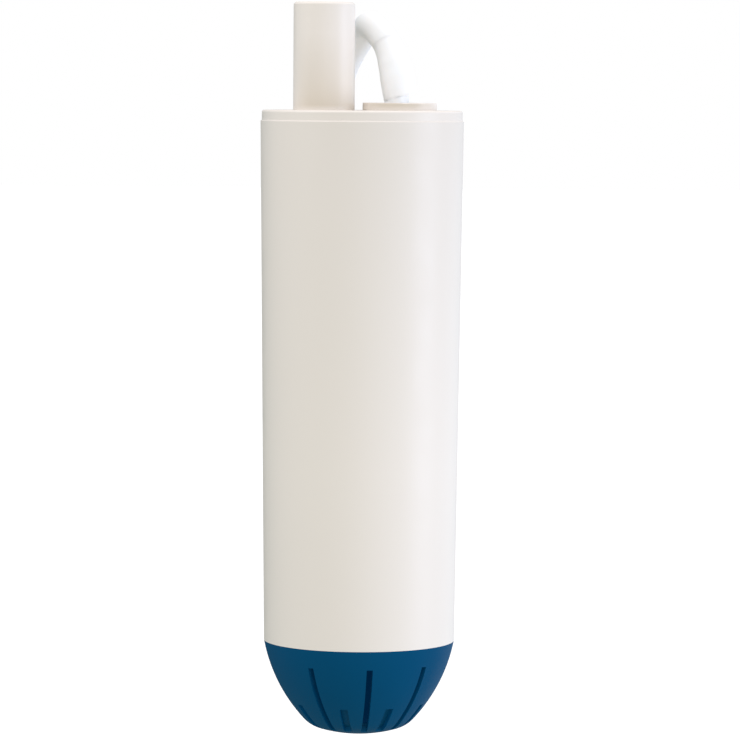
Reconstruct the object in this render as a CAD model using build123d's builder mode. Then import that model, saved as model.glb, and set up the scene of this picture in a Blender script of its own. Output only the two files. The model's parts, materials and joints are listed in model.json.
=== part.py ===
"""Slim submersible bilge pump, built as it comes apart on a bench.

A drafted casing holds a sealed motor capsule. The cap on top carries the hose tail and the cable
gland, a centrifugal impeller turns at the foot, and a slotted strainer pulls off for cleaning.
The supply cable arches over behind the pump and is put away as a tied hank.

Millimetres, +Z up. The origin is the foot of the hose tail, on its axis, in the cap's top face.
The pump's own axis stands at +X of the tail, and the cable gland stands at +X of both.
"""

import os
from math import cos, radians, sin, tan

from build123d import *

os.makedirs("parts", exist_ok=True)

# Driving dimensions: the outside
TAIL_R = 6.0              # hose tail, for 12 mm hose
TAIL_BORE_R = 4.3
TAIL_H = 21.0
TAIL_EDGE = 0.4           # chamfer at the mouth of the tail
TAIL_FOOT_R = 5.6         # the tail's foot, sunk in the cap
BODY_X = 7.5              # pump axis, from the hose tail's axis
GLAND_X = 14.8            # gland axis, from the hose tail's axis
BOSS_R = 7.25             # raised disc under the gland
BOSS_H = 1.5
CAP_R = 19.6
CAP_RIM = 1.9             # the cap's visible edge
CASE_TOP_R = 19.85        # the casing narrows downwards
CASE_FOOT_R = 18.7
CASE_WALL = 1.9
CASE_TOP_Z = -CAP_RIM
SEAM_Z = -103.95          # casing above, strainer below
DOME_R = 18.7             # strainer at the seam
DOME_LEAN = 10.8          # degrees from upright at the seam
DOME_SIDE_R = 31.5        # the side's arc, then the corner's, then the nose's
DOME_CORNER_R = 6.0
DOME_NOSE_R = 28.0
DOME_SIDE_TURN = 42.9     # degrees from upright where the side meets the corner
DOME_CORNER_TURN = 73.1   # and where the corner meets the nose
DOME_WALL = 1.6

# Driving dimensions: the cable
CABLE_R = 2.75
CORE_R = 0.95
GLAND_TOP = (14.45, 0.1, 5.15)    # where the cable leaves the gland, leaning back over the cap
HANK_FRONT = 24.5         # centre of the first layer of the hank, behind the tail's axis
HANK_TOP = -7.0
HANK_LOOP_R = 16.0        # centreline of the end loops
HANK_REACH = 24.5         # loop centre to the waist
HANK_TURNS = 4
CABLE_ROUTE = [
    GLAND_TOP,
    (13.75, 0.3, 9.05),
    (12.15, 2.5, 13.6),
    (8.7, 7.6, 17.1),
    (7.8, 15.5, 15.5),
    (3.5, 21.5, 8.7),
    (1.3, 24.3, -1.3),
    (1.5, HANK_FRONT, -13.0),
]
CABLE_START = Vector(*CABLE_ROUTE[1]) - Vector(*CABLE_ROUTE[0])
END_Z = -104.0            # where the sheath is stripped
CORE_END_Z = -113.0
STRAND_END_Z = -117.0

# Driving dimensions: the inside, from the foot upwards
SPIGOT_TOP = -98.8
PLATE_LOW = -98.6
PLATE_TOP = -96.8
EYE_R = 6.0
IMPELLER_R = 13.8
VANE_LOW = -96.2
DISC_LOW = -90.3
DISC_TOP = -89.5
CAPSULE_R = 15.2
CAPSULE_WALL = 1.1
CAPSULE_LOW = -88.0
CAPSULE_FLOOR = -83.5
CAPSULE_TOP = -22.0
LID_TOP = -20.0
LID_LOW = -26.0
NECK_R = 4.7
NECK_BORE_R = 3.5
NECK_TOP = -0.6
CAN_R = 13.85
CAN_WALL = 0.8
CAN_TOP = -47.5
SHAFT_R = 1.15
RUNNING_GAP = 0.02        # shaft to bearing, on the radius
CORE_LOW = -76.5          # armature stack
CORE_TOP = -58.5
CORE_OUT_R = 9.9
COMMUTATOR_R = 3.5
BRUSH_ARM_Y = -7.5        # root of the leaf, from the pump axis
BRUSH_ARM_X = 5.7

PUMP_AXIS = Axis((BODY_X, 0, 0), (0, 0, 1))
SLOTS = 9
SLOT_FIRST = -121.5       # degrees, the slot after the one wide gap
SLOT_STEP = 38.6


def radial_plane(angle, x=BODY_X):
    """The upright half plane at an angle round an axis at x: its local x is radius, its local y is height."""
    a = radians(angle)
    return Plane((x, 0, 0), x_dir=(cos(a), sin(a), 0), z_dir=(sin(a), -cos(a), 0))


def turned(*corners, x=BODY_X, start=0, sweep=360, mode=Mode.ADD):
    """Turn a closed outline of (radius, height) corners about an upright axis at x."""
    with BuildSketch(radial_plane(start, x)) as outline:
        with BuildLine():
            Polyline(*corners, close=True)
        make_face()
    revolve(outline.sketch, axis=Axis((x, 0, 0), (0, 0, 1)), revolution_arc=sweep, mode=mode)


def ring(inner, outer, low, high, **options):
    """A plain ring, or a disc where inner is 0."""
    turned((inner, low), (outer, low), (outer, high), (inner, high), **options)


def o_ring(centre_r, section_r, z, x=BODY_X):
    with Locations((x, 0, z)):
        Torus(centre_r, section_r)


def polar(radius, angle):
    return (radius * cos(radians(angle)), radius * sin(radians(angle)))


def case_bore(z):
    """Inner radius of the drafted casing at a height."""
    drop = (z - CASE_TOP_Z) / (SEAM_Z - CASE_TOP_Z)
    return CASE_TOP_R + (CASE_FOOT_R - CASE_TOP_R) * drop - CASE_WALL


def corner_radii(points):
    """The largest tangent arc at each corner that leaves a tenth of the shorter run straight."""
    radii = []
    corners = [Vector(*p) for p in points]
    for before, here, after in zip(corners, corners[1:], corners[2:]):
        turn = (here - before).get_angle(after - here)
        shorter = min((here - before).length, (after - here).length)
        radii.append(0.45 * shorter / tan(radians(turn / 2)))
    return radii


def tube(points, radius, name):
    """Sweep a round section along straight runs joined by tangent arcs."""
    radii = corner_radii(points)
    with BuildLine():
        route = FilletPolyline(*points, radius=radii)
    with BuildSketch(Plane(route @ 0, z_dir=route % 0)) as section:
        Circle(radius)
    swept = sweep(section.sketch, path=route)
    print(name, "length", round(route.length, 1), "radii", [round(r, 1) for r in radii],
          "volume over section times length", round(swept.volume / (section.sketch.area * route.length), 4))


# ---------------------------------------------------------------- housing

SKIRT_R = 17.85
SKIRT_IN_R = 15.6
SKIRT_LOW = -8.0
CAP_UNDER = -3.2
COLLAR_R = 7.2
COLLAR_LOW = -9.0
NECK_SEAT_R = 6.0         # counterbore for the neck's seal
NECK_SEAT_TOP = -7.2
GROOVE_FLOOR_R = 16.75
GROOVE_TOP = -4.6
GROOVE_LOW = -6.4

with BuildPart() as top_cap:
    turned((0, 0), (CAP_R, 0), (CAP_R, -CAP_RIM), (SKIRT_R, -CAP_RIM), (SKIRT_R, SKIRT_LOW),
           (SKIRT_IN_R, SKIRT_LOW), (SKIRT_IN_R, CAP_UNDER), (0, CAP_UNDER))
    rim_edge = top_cap.edges().filter_by(GeomType.CIRCLE).group_by(Axis.Z)[-1]
    fillet(rim_edge, 0.45)
    ring(GROOVE_FLOOR_R, SKIRT_R + 1, GROOVE_LOW, GROOVE_TOP, mode=Mode.SUBTRACT)
    ring(0, COLLAR_R, COLLAR_LOW, CAP_UNDER, x=GLAND_X)
    ring(0, BOSS_R, 0, BOSS_H, x=GLAND_X)
    boss_edge = top_cap.edges().filter_by(GeomType.CIRCLE).group_by(Axis.Z)[-1]
    fillet(boss_edge, 0.15)
    ring(0, TAIL_FOOT_R + 0.05, CAP_UNDER - 1, 1, x=0, mode=Mode.SUBTRACT)
    ring(0, NECK_R + 0.05, COLLAR_LOW - 1, NECK_TOP + 0.1, x=GLAND_X, mode=Mode.SUBTRACT)
    ring(0, NECK_SEAT_R, COLLAR_LOW - 1, NECK_SEAT_TOP, x=GLAND_X, mode=Mode.SUBTRACT)
    ring(0, NECK_BORE_R + 0.1, -1, BOSS_H + 1, x=GLAND_X, mode=Mode.SUBTRACT)
top_cap.part.label = "top_cap"
export_step(top_cap.part, "parts/top_cap.step")

with BuildPart() as outlet_spigot:
    ring(0, TAIL_R, 0, TAIL_H, x=0)
    mouth_edge = outlet_spigot.edges().filter_by(GeomType.CIRCLE).group_by(Axis.Z)[-1]
    chamfer(mouth_edge, TAIL_EDGE)
    ring(0, TAIL_FOOT_R, CAP_UNDER, 0, x=0)
    ring(0, TAIL_BORE_R, CAP_UNDER - 1, TAIL_H + 1, x=0, mode=Mode.SUBTRACT)
outlet_spigot.part.label = "outlet_spigot"
export_step(outlet_spigot.part, "parts/outlet_spigot.step")

with BuildPart() as casing:
    turned((case_bore(CASE_TOP_Z), CASE_TOP_Z), (CASE_TOP_R, CASE_TOP_Z),
           (CASE_FOOT_R, SEAM_Z), (case_bore(SEAM_Z), SEAM_Z))
    top_edge = casing.edges().filter_by(GeomType.CIRCLE).group_by(Axis.Z)[-1].sort_by(SortBy.RADIUS)[-1]
    chamfer(top_edge, 0.25)
casing.part.label = "casing"
export_step(casing.part, "parts/casing.step")


def dome_face(inset, mode=Mode.ADD):
    """The strainer's outline set in by a wall, closed across the top and along the axis."""
    lean = radians(DOME_LEAN)
    start = (DOME_R - inset * cos(lean), SEAM_Z + inset * sin(lean))
    with BuildLine() as outline:
        side = JernArc(start, (-sin(lean), -cos(lean)), DOME_SIDE_R - inset, DOME_LEAN - DOME_SIDE_TURN)
        corner = JernArc(side @ 1, side % 1, DOME_CORNER_R - inset, DOME_SIDE_TURN - DOME_CORNER_TURN)
        nose = JernArc(corner @ 1, corner % 1, DOME_NOSE_R - inset, DOME_CORNER_TURN - 90)
        Polyline(nose @ 1, (0, (nose @ 1).Y), (0, start[1]), start)
    make_face(outline.edges(), mode=mode)


SPIGOT_R = case_bore(SEAM_Z) - 0.05
SPIGOT_IN_R = 15.2
LONG_SLOT_TOP = SEAM_Z - 3.7
MARK_TOP = SEAM_Z - 12.0
SLOT_IN_R = 8.6
SLOT_W = 1.2
MARK_IN_R = 8.8
MARK_W = 1.6
MARK_DEEP = 0.9
WIDE_GAP_MIDDLE = (SLOT_FIRST + SLOT_FIRST + (SLOTS - 1) * SLOT_STEP - 360) / 2

with BuildPart() as strainer:
    with BuildSketch(radial_plane(0)) as shell:
        dome_face(0)
        dome_face(DOME_WALL, mode=Mode.SUBTRACT)
    revolve(shell.sketch, axis=PUMP_AXIS)
    # the spigot that pushes up into the casing, rooted in the dome's wall
    turned((SPIGOT_IN_R, SPIGOT_TOP), (SPIGOT_R, SPIGOT_TOP), (SPIGOT_R, SEAM_Z), (17.3, SEAM_Z),
           (17.3, SEAM_Z - 2), (16.6, SEAM_Z - 3), (SPIGOT_IN_R, SEAM_Z - 1.5))
    for step in range(SLOTS):
        with BuildSketch(radial_plane(SLOT_FIRST + step * SLOT_STEP)) as slot:
            with Locations((SLOT_IN_R, LONG_SLOT_TOP)):
                Rectangle(12, 20, align=(Align.MIN, Align.MAX))
        extrude(slot.sketch, amount=SLOT_W / 2, both=True, mode=Mode.SUBTRACT)
    # shallow blind marks between the slots, cut to one depth all along the wall
    for step in range(SLOTS):
        mark_angle = SLOT_FIRST + (step + 0.5) * SLOT_STEP if step < SLOTS - 1 else WIDE_GAP_MIDDLE
        with BuildSketch(radial_plane(mark_angle)) as mark:
            with Locations((MARK_IN_R, MARK_TOP)):
                Rectangle(12, 20, align=(Align.MIN, Align.MAX))
            dome_face(MARK_DEEP, mode=Mode.SUBTRACT)
        extrude(mark.sketch, amount=MARK_W / 2, both=True, mode=Mode.SUBTRACT)
strainer.part.label = "strainer"
export_step(strainer.part, "parts/strainer.step")

with BuildPart() as inlet_plate:
    ring(EYE_R, case_bore(PLATE_LOW), PLATE_LOW, PLATE_TOP)
    eye_edge = inlet_plate.edges().filter_by(GeomType.CIRCLE).group_by(Axis.Z)[0].sort_by(SortBy.RADIUS)[0]
    chamfer(eye_edge, 0.6)
inlet_plate.part.label = "inlet_plate"
export_step(inlet_plate.part, "parts/inlet_plate.step")

DIFFUSER_IN_R = 14.5
DIFFUSER_R = case_bore(PLATE_TOP)
DIFFUSER_BASE = 1.0
DIFFUSER_VANES = 7

with BuildPart() as diffuser_ring:
    ring(DIFFUSER_IN_R, DIFFUSER_R, PLATE_TOP, PLATE_TOP + DIFFUSER_BASE)
    with BuildSketch(Plane((BODY_X, 0, PLATE_TOP))) as vanes:
        with PolarLocations((DIFFUSER_IN_R + DIFFUSER_R) / 2, DIFFUSER_VANES):
            Rectangle(5.0, 1.0, rotation=40)
        Circle(DIFFUSER_R, mode=Mode.INTERSECT)
        Circle(DIFFUSER_IN_R, mode=Mode.SUBTRACT)
    extrude(vanes.sketch, amount=CAPSULE_LOW - PLATE_TOP)
diffuser_ring.part.label = "diffuser_ring"
export_step(diffuser_ring.part, "parts/diffuser_ring.step")

# ---------------------------------------------------------------- motor capsule

CAPSULE_IN_R = CAPSULE_R - CAPSULE_WALL
SEAL_R = 4.0
SEAL_TOP = -84.8
RIB_LOW = -86.0
RIB_TOP = -26.0
RIB_W = 1.2

with BuildPart() as motor_capsule:
    turned((0, CAPSULE_LOW), (CAPSULE_R, CAPSULE_LOW), (CAPSULE_R, CAPSULE_TOP), (CAPSULE_IN_R, CAPSULE_TOP),
           (CAPSULE_IN_R, CAPSULE_FLOOR), (0, CAPSULE_FLOOR))
    ring(0, SEAL_R, CAPSULE_LOW - 1, SEAL_TOP, mode=Mode.SUBTRACT)
    ring(0, SHAFT_R + 0.45, CAPSULE_LOW, CAPSULE_FLOOR + 1, mode=Mode.SUBTRACT)
    for corner in range(4):
        with BuildSketch(radial_plane(45 + 90 * corner)) as rib:
            with BuildLine():
                Polyline((CAPSULE_R - 0.3, RIB_LOW), (case_bore(RIB_LOW) - 0.05, RIB_LOW),
                         (case_bore(RIB_TOP) - 0.05, RIB_TOP), (CAPSULE_R - 0.3, RIB_TOP), close=True)
            make_face()
        extrude(rib.sketch, amount=RIB_W / 2, both=True)
motor_capsule.part.label = "motor_capsule"
export_step(motor_capsule.part, "parts/motor_capsule.step")

LID_GROOVE_R = 13.1
LID_GROOVE_LOW = -24.8
LID_GROOVE_TOP = -23.2

with BuildPart() as capsule_lid:
    ring(0, CAPSULE_R, CAPSULE_TOP, LID_TOP)
    ring(0, CAPSULE_IN_R - 0.05, LID_LOW, CAPSULE_TOP)
    ring(LID_GROOVE_R, CAPSULE_R, LID_GROOVE_LOW, LID_GROOVE_TOP, mode=Mode.SUBTRACT)
    ring(0, NECK_R, LID_TOP, NECK_TOP, x=GLAND_X)
    ring(0, NECK_BORE_R, LID_LOW - 1, NECK_TOP + 1, x=GLAND_X, mode=Mode.SUBTRACT)
capsule_lid.part.label = "capsule_lid"
export_step(capsule_lid.part, "parts/capsule_lid.step")

with BuildPart() as shaft_seal:
    turned((SHAFT_R + 0.05, -85.9), (SHAFT_R + 0.05, -85.2), (2.2, SEAL_TOP), (SEAL_R, SEAL_TOP),
           (SEAL_R, CAPSULE_LOW), (2.9, CAPSULE_LOW), (2.9, -85.9))
shaft_seal.part.label = "shaft_seal"
export_step(shaft_seal.part, "parts/shaft_seal.step")

with BuildPart() as cap_o_ring:
    o_ring(GROOVE_FLOOR_R + 0.58, 0.56, (GROOVE_TOP + GROOVE_LOW) / 2)
cap_o_ring.part.label = "cap_o_ring"
export_step(cap_o_ring.part, "parts/cap_o_ring.step")

with BuildPart() as neck_o_ring:
    o_ring((NECK_R + NECK_SEAT_R) / 2, 0.63, NECK_SEAT_TOP - 0.65, x=GLAND_X)
neck_o_ring.part.label = "neck_o_ring"
export_step(neck_o_ring.part, "parts/neck_o_ring.step")

with BuildPart() as capsule_o_ring:
    o_ring((LID_GROOVE_R + CAPSULE_IN_R) / 2, 0.49, (LID_GROOVE_LOW + LID_GROOVE_TOP) / 2)
capsule_o_ring.part.label = "capsule_o_ring"
export_step(capsule_o_ring.part, "parts/capsule_o_ring.step")

# ---------------------------------------------------------------- motor, fixed pieces

CAN_IN_R = CAN_R - CAN_WALL
BEARING_R = 3.0
FRONT_HUB_TOP = -79.7

with BuildPart() as motor_can:
    turned((BEARING_R, CAPSULE_FLOOR), (CAN_R, CAPSULE_FLOOR), (CAN_R, CAN_TOP), (CAN_IN_R, CAN_TOP),
           (CAN_IN_R, CAPSULE_FLOOR + CAN_WALL), (3.8, CAPSULE_FLOOR + CAN_WALL), (3.8, FRONT_HUB_TOP),
           (BEARING_R, FRONT_HUB_TOP))
    foot_edge = motor_can.edges().filter_by(GeomType.CIRCLE).group_by(Axis.Z)[0].sort_by(SortBy.RADIUS)[-1]
    fillet(foot_edge, 0.6)
motor_can.part.label = "motor_can"
export_step(motor_can.part, "parts/motor_can.step")

MAGNET_IN_R = 10.4
MAGNET_LOW = -79.0
MAGNET_TOP = -57.0
MAGNET_ARC = 140

for letter, middle in (("a", 90), ("b", 270)):
    with BuildPart() as magnet:
        ring(MAGNET_IN_R, CAN_IN_R, MAGNET_LOW, MAGNET_TOP, start=middle - MAGNET_ARC / 2, sweep=MAGNET_ARC)
    magnet.part.label = f"magnet_{letter}"
    export_step(magnet.part, f"parts/magnet_{letter}.step")

CLIP_ARC = 180 - MAGNET_ARC

with BuildPart() as magnet_clips:
    for middle in (0, 180):
        ring(CAN_IN_R - 0.8, CAN_IN_R, MAGNET_LOW + 1, MAGNET_TOP - 1, start=middle - CLIP_ARC / 2, sweep=CLIP_ARC)
magnet_clips.part.label = "magnet_clips"
export_step(magnet_clips.part, "parts/magnet_clips.step")

BELL_LOW = -50.0
BELL_TOP = -45.5
BELL_BOSS_TOP = -43.5
REAR_SEAT_TOP = -44.8
TAB_R = 11.0              # terminal tabs, from the pump axis
TAB_THICK = 0.5
TAB_W = 3.0
TAB_TOP = -40.0
POST_W = 1.6

with BuildPart() as end_bell:
    turned((0, BELL_LOW), (CAN_IN_R, BELL_LOW), (CAN_IN_R, CAN_TOP), (CAN_R, CAN_TOP), (CAN_R, BELL_TOP),
           (4.4, BELL_TOP), (4.4, BELL_BOSS_TOP), (0, BELL_BOSS_TOP))
    ring(0, BEARING_R, BELL_LOW - 1, REAR_SEAT_TOP, mode=Mode.SUBTRACT)
    with Locations((BODY_X, 0, TAB_TOP)):
        with PolarLocations(TAB_R, 2, start_angle=-45):
            Box(TAB_THICK, TAB_W, 12, mode=Mode.SUBTRACT, align=(Align.CENTER, Align.CENTER, Align.MAX))
    # two posts hold the roots of the brush leaves
    for side in (1, -1):
        with Locations((BODY_X + side * (BRUSH_ARM_X + 0.15), side * (BRUSH_ARM_Y - 0.15), BELL_LOW)):
            Box(POST_W, POST_W, 5.2, align=(Align.CENTER, Align.MAX if side > 0 else Align.MIN, Align.MAX))
end_bell.part.label = "end_bell"
export_step(end_bell.part, "parts/end_bell.step")

for place, low, high in (("front", CAPSULE_FLOOR, -79.9), ("rear", -48.5, -45.0)):
    with BuildPart() as bearing:
        ring(SHAFT_R + RUNNING_GAP, BEARING_R, low, high)
    bearing.part.label = f"{place}_bearing"
    export_step(bearing.part, f"parts/{place}_bearing.step")

for letter, angle in (("a", -45), ("b", 135)):
    with BuildPart() as terminal:
        with BuildSketch(radial_plane(angle)) as edge_view:
            with Locations((TAB_R, BELL_LOW)):
                Rectangle(TAB_THICK, TAB_TOP - BELL_LOW, align=(Align.CENTER, Align.MIN))
        extrude(edge_view.sketch, amount=TAB_W / 2, both=True)
    terminal.part.label = f"terminal_{letter}"
    export_step(terminal.part, f"parts/terminal_{letter}.step")

SUPPRESSOR_Z = -41.6

with BuildPart() as suppressor:
    with Locations((BODY_X, 0, SUPPRESSOR_Z)):
        Cylinder(3.2, 2.2)
        with Locations(Rotation(0, 90, -45)):
            Cylinder(0.3, 2 * TAB_R - TAB_THICK)
suppressor.part.label = "suppressor"
export_step(suppressor.part, "parts/suppressor.step")

with BuildPart() as motor_spacer:
    ring(12.4, CAPSULE_IN_R - 0.1, BELL_TOP, LID_LOW)
motor_spacer.part.label = "motor_spacer"
export_step(motor_spacer.part, "parts/motor_spacer.step")

# ---------------------------------------------------------------- rotor

SHAFT_LOW = -95.6
SHAFT_TOP = -45.3

with BuildPart() as motor_shaft:
    ring(0, SHAFT_R, SHAFT_LOW, SHAFT_TOP)
    chamfer(motor_shaft.edges().filter_by(GeomType.CIRCLE), 0.2)
motor_shaft.part.label = "motor_shaft"
export_step(motor_shaft.part, "parts/motor_shaft.step")

POLES = 3
ARM_W = 2.6
SHOE_IN_R = 8.5
SHOE_ARC = 96
HUB_R = 3.2

with BuildPart() as armature_core:
    ring(SHAFT_R, HUB_R, CORE_LOW, CORE_TOP)
    with BuildSketch(Plane((BODY_X, 0, CORE_LOW))) as arms:
        with PolarLocations(HUB_R - 0.5, POLES):
            Rectangle(SHOE_IN_R - HUB_R + 1, ARM_W, align=(Align.MIN, Align.CENTER))
    extrude(arms.sketch, amount=CORE_TOP - CORE_LOW)
    for pole in range(POLES):
        ring(SHOE_IN_R, CORE_OUT_R, CORE_LOW, CORE_TOP, start=120 * pole - SHOE_ARC / 2, sweep=SHOE_ARC)
armature_core.part.label = "armature_core"
export_step(armature_core.part, "parts/armature_core.step")

COIL_IN = 3.7
COIL_OUT = 7.6
COIL_W = 7.2
COIL_OVERHANG = 1.6

for pole, letter in enumerate("abc"):
    with BuildPart() as winding:
        with BuildSketch(radial_plane(120 * pole)) as coil:
            with Locations((COIL_IN, CORE_LOW - COIL_OVERHANG)):
                Rectangle(COIL_OUT - COIL_IN, CORE_TOP - CORE_LOW + 2 * COIL_OVERHANG, align=Align.MIN)
        extrude(coil.sketch, amount=COIL_W / 2, both=True)
        fillet(winding.edges().filter_by(lambda e: abs((e % 0.5).Z) < 0.1 and e.length < 5), 1.2)
        with BuildSketch(radial_plane(120 * pole)) as arm_hole:
            with Locations((COIL_IN - 1, CORE_LOW)):
                Rectangle(COIL_OUT - COIL_IN + 2, CORE_TOP - CORE_LOW, align=Align.MIN)
        extrude(arm_hole.sketch, amount=ARM_W / 2, both=True, mode=Mode.SUBTRACT)
    winding.part.label = f"winding_{letter}"
    export_step(winding.part, f"parts/winding_{letter}.step")

COMMUTATOR_LOW = -56.4
COMMUTATOR_TOP = -51.0
SEGMENT_IN_R = 2.6
SEGMENT_ARC = 108

with BuildPart() as commutator_hub:
    ring(SHAFT_R, SEGMENT_IN_R, COMMUTATOR_LOW - 0.4, COMMUTATOR_TOP + 0.4)
commutator_hub.part.label = "commutator_hub"
export_step(commutator_hub.part, "parts/commutator_hub.step")

with BuildPart() as commutator_segments:
    for pole in range(POLES):
        middle = 60 + 120 * pole
        ring(SEGMENT_IN_R, COMMUTATOR_R, COMMUTATOR_LOW, COMMUTATOR_TOP,
             start=middle - SEGMENT_ARC / 2, sweep=SEGMENT_ARC)
        ring(SEGMENT_IN_R + 0.3, COMMUTATOR_R + 1.2, COMMUTATOR_LOW, COMMUTATOR_LOW + 0.6,
             start=middle - 12, sweep=24)
commutator_segments.part.label = "commutator_segments"
export_step(commutator_segments.part, "parts/commutator_segments.step")

with BuildPart() as rotor_washers:
    for low in (-79.8, -49.2):
        ring(SHAFT_R, 2.5, low, low + 0.5)
rotor_washers.part.label = "rotor_washers"
export_step(rotor_washers.part, "parts/rotor_washers.step")

IMPELLER_VANES = 6
IMPELLER_HUB_R = 3.0
VANE_W = 0.9

with BuildPart() as impeller:
    ring(SHAFT_R, IMPELLER_R, DISC_LOW, DISC_TOP)
    ring(SHAFT_R, IMPELLER_HUB_R, SHAFT_LOW + 0.2, DISC_LOW)
    with BuildSketch(Plane((BODY_X, 0, VANE_LOW))) as blades:
        with BuildLine():
            for blade in range(IMPELLER_VANES):
                angle = blade * 360 / IMPELLER_VANES
                ThreePointArc(polar(2.6, angle), polar(8.6, angle - 24), polar(13.2, angle - 52))
        trace(line_width=VANE_W)
        Circle(SHAFT_R + 0.5, mode=Mode.SUBTRACT)
    extrude(blades.sketch, amount=DISC_LOW - VANE_LOW)
impeller.part.label = "impeller"
export_step(impeller.part, "parts/impeller.step")

# ---------------------------------------------------------------- brushes

BRUSH_LOW = -54.6
BRUSH_H = 2.8
LEAF_THICK = 0.25

for letter, side in (("a", 1), ("b", -1)):
    half_turn = Location((BODY_X, 0, BRUSH_LOW), (0, 0, 0 if side > 0 else 180))
    with BuildPart() as brush:
        with Locations(half_turn):
            with Locations((COMMUTATOR_R + 0.03, 0, 0)):
                Box(BRUSH_ARM_X - COMMUTATOR_R - 0.03, 2.4, BRUSH_H, align=(Align.MIN, Align.CENTER, Align.MIN))
    brush.part.label = f"brush_{letter}"
    export_step(brush.part, f"parts/brush_{letter}.step")

    with BuildPart() as leaf:
        with Locations(half_turn):
            with Locations((BRUSH_ARM_X, BRUSH_ARM_Y, 0)):
                Box(LEAF_THICK, 1.2 - BRUSH_ARM_Y, BRUSH_H, align=Align.MIN)
    leaf.part.label = f"brush_leaf_{letter}"
    export_step(leaf.part, f"parts/brush_leaf_{letter}.step")

# ---------------------------------------------------------------- gland and leads

GLAND_LOW = -12.0
GLAND_NOSE_R = 3.2
FOOT_X = 14.3             # a narrow foot, then the sleeve's lip, lifted on the side away from the tail
FOOT_R = 2.3
FOOT_TOP = 3.3
LIP = (14.75, 0, 2.65)
LIP_R = 3.15
LIP_LEAN = radians(15.5)

with BuildPart() as cable_gland:
    ring(0, NECK_BORE_R, GLAND_LOW, BOSS_H, x=GLAND_X)
    ring(0, FOOT_R, BOSS_H, FOOT_TOP, x=FOOT_X)
    with BuildSketch(Plane(LIP, x_dir=(1, 0, 0), z_dir=(-sin(LIP_LEAN), 0, cos(LIP_LEAN)))) as lip:
        Circle(LIP_R)
    with BuildSketch(Plane(GLAND_TOP, x_dir=(1, 0, 0), z_dir=CABLE_START)) as nose:
        Circle(GLAND_NOSE_R)
    loft([lip.sketch, nose.sketch])
cable_gland.part.label = "cable_gland"
export_step(cable_gland.part, "parts/cable_gland.step")

TAB_A = (BODY_X + polar(TAB_R, -45)[0], polar(TAB_R, -45)[1])
TAB_B = (BODY_X + polar(TAB_R, 135)[0], polar(TAB_R, 135)[1])

with BuildPart() as lead_brown:
    tube([(GLAND_X, -1.2, GLAND_LOW), (GLAND_X, -1.2, -28), (GLAND_X + 0.4, -6.6, -34),
          (*TAB_A, -37), (*TAB_A, TAB_TOP)], CORE_R, "lead_brown")
lead_brown.part.label = "lead_brown"
export_step(lead_brown.part, "parts/lead_brown.step")

with BuildPart() as lead_blue:
    tube([(GLAND_X, 1.2, GLAND_LOW), (GLAND_X, 1.2, -28), (9.5, 5.0, -33), (2.0, 7.4, -34.5),
          (*TAB_B, -37), (*TAB_B, TAB_TOP)], CORE_R, "lead_blue")
lead_blue.part.label = "lead_blue"
export_step(lead_blue.part, "parts/lead_blue.step")

# ---------------------------------------------------------------- cable and hank

HANK_X = BODY_X
HANK_LAYER = 2 * CABLE_R
HANK_MIDDLE = HANK_TOP - CABLE_R - HANK_LOOP_R - HANK_REACH
HANK_BACK = HANK_FRONT + HANK_TURNS * HANK_LAYER

with BuildPart() as cable:
    tube(CABLE_ROUTE, CABLE_R, "cable")
cable.part.label = "cable"
export_step(cable.part, "parts/cable.step")

TIE_H = 8.0
TIE_THICK = 1.0
HANK_FACE = Plane((HANK_X, HANK_FRONT - CABLE_R, HANK_MIDDLE), x_dir=(1, 0, 0), z_dir=(0, 1, 0))

with BuildPart() as cable_hank:
    for end in (1, -1):
        with BuildSketch(HANK_FACE) as half:
            with Locations((0, end * HANK_REACH)):
                Circle(HANK_LOOP_R + CABLE_R)
            with Locations((0, end * (TIE_H / 2 + 1))):
                Rectangle(4 * CABLE_R, 1)
            make_hull()
        extrude(half.sketch, amount=HANK_BACK - HANK_FRONT + 2 * CABLE_R)
    with BuildSketch(HANK_FACE) as waist:
        Rectangle(4 * CABLE_R, TIE_H + 2)
    extrude(waist.sketch, amount=HANK_BACK - HANK_FRONT + 2 * CABLE_R)
cable_hank.part.label = "cable_hank"
export_step(cable_hank.part, "parts/cable_hank.step")

with BuildPart() as hank_tie:
    with BuildSketch(Plane((HANK_X, (HANK_FRONT + HANK_BACK) / 2, HANK_MIDDLE - TIE_H / 2))) as band:
        RectangleRounded(4 * CABLE_R + 2 * TIE_THICK, HANK_BACK - HANK_FRONT + 2 * CABLE_R + 2 * TIE_THICK, 2)
        Rectangle(4 * CABLE_R, HANK_BACK - HANK_FRONT + 2 * CABLE_R, mode=Mode.SUBTRACT)
    extrude(band.sketch, amount=TIE_H)
hank_tie.part.label = "hank_tie"
export_step(hank_tie.part, "parts/hank_tie.step")

END_X = HANK_X - 1.5

with BuildPart() as cable_end:
    with Locations((END_X, HANK_BACK, END_Z)):
        Cylinder(CABLE_R, HANK_MIDDLE - HANK_REACH - HANK_LOOP_R - END_Z, align=(Align.CENTER, Align.CENTER, Align.MIN))
cable_end.part.label = "cable_end"
export_step(cable_end.part, "parts/cable_end.step")

for colour, side in (("brown", -1), ("blue", 1)):
    with BuildPart() as core:
        tube([(END_X + side * 1.2, HANK_BACK, END_Z), (END_X + side * 1.2, HANK_BACK, END_Z - 4),
              (END_X + side * 2.6, HANK_BACK, CORE_END_Z)], CORE_R, f"core_{colour}")
    core.part.label = f"core_{colour}"
    export_step(core.part, f"parts/core_{colour}.step")

with BuildPart() as bare_strands:
    for side in (-1, 1):
        with BuildSketch(Plane((END_X + side * 2.6, HANK_BACK, CORE_END_Z), z_dir=(side * 1.4, 0, -5))) as tip:
            Circle(0.6)
        extrude(tip.sketch, amount=CORE_END_Z - STRAND_END_Z)
bare_strands.part.label = "bare_strands"
export_step(bare_strands.part, "parts/bare_strands.step")
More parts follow.
